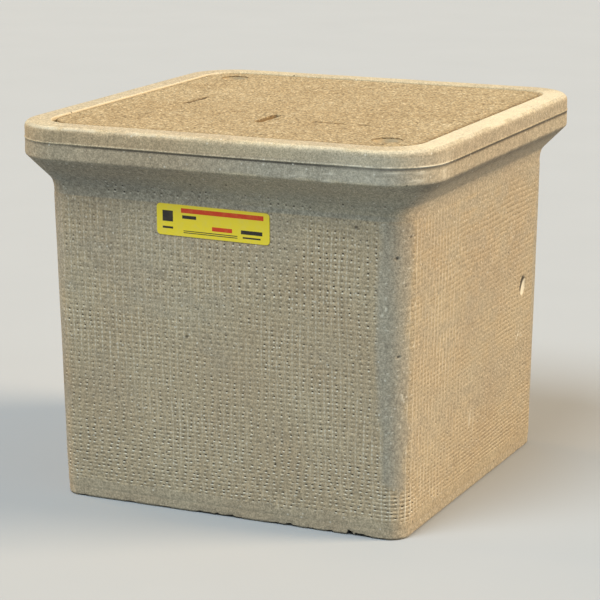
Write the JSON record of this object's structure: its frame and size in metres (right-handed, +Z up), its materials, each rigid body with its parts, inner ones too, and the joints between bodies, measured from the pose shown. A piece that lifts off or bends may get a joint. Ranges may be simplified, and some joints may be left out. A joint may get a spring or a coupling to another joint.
{
  "type": "underground utility box",
  "caption": "Square polymer-concrete utility box with a flared rim, open bottom and flush bolted cover, set in the ground to hold cable joints.",
  "frame": {"origin": "middle of the open bottom, on the surface that the box stands on", "axes": "+Z up through the cover, -Y out of the labelled front wall, +X to its right"},
  "size_m": [0.3546, 0.3546, 0.305],
  "materials": {
    "box_concrete": "matt, fibre cloth imprint",
    "cover_concrete": "coarse, skid resistant",
    "stainless": "plain stainless",
    "clip_steel": "folded sheet",
    "label_film": "printed film"
  },
  "bodies": {
    "box": {"box_body": "box_concrete", "clip_nut_front_right": "stainless", "clip_nut_rear_left": "stainless", "nut_clip_front_right": "clip_steel", "nut_clip_rear_left": "clip_steel", "wall_label": "label_film"},
    "cover": {"cover": "cover_concrete", "lift_pin": "stainless"},
    "front_right_washer": {"bolt_washer_front_right": "stainless"},
    "front_right_bolt": {"cover_bolt_front_right": "stainless"},
    "rear_left_washer": {"bolt_washer_rear_left": "stainless"},
    "rear_left_bolt": {"cover_bolt_rear_left": "stainless"}
  },
  "joints": [
    {"name": "cover_lift", "type": "slide", "parent": "box", "child": "cover", "axis": [0, 0, 1], "range_m": [0, 0.12]},
    {"name": "front_right_bolt_rise", "type": "slide", "parent": "cover", "child": "front_right_washer", "axis": [0, 0, 1], "range_m": [0, 0.01587]},
    {"name": "front_right_bolt_turn", "type": "hinge", "parent": "front_right_washer", "child": "front_right_bolt", "pos_m": [0.1259, -0.1259, 0.29], "axis": [0, 0, 1], "range_deg": [0, 3600]},
    {"name": "rear_left_bolt_rise", "type": "slide", "parent": "cover", "child": "rear_left_washer", "axis": [0, 0, 1], "range_m": [0, 0.01587]},
    {"name": "rear_left_bolt_turn", "type": "hinge", "parent": "rear_left_washer", "child": "rear_left_bolt", "pos_m": [-0.1259, 0.1259, 0.29], "axis": [0, 0, 1], "range_deg": [0, 3600]}
  ],
  "couplings": [
    {"joint": "front_right_bolt_turn", "follows": "front_right_bolt_rise", "rad_per_m": 3957.9},
    {"joint": "rear_left_bolt_turn", "follows": "rear_left_bolt_rise", "rad_per_m": 3957.9}
  ]
}
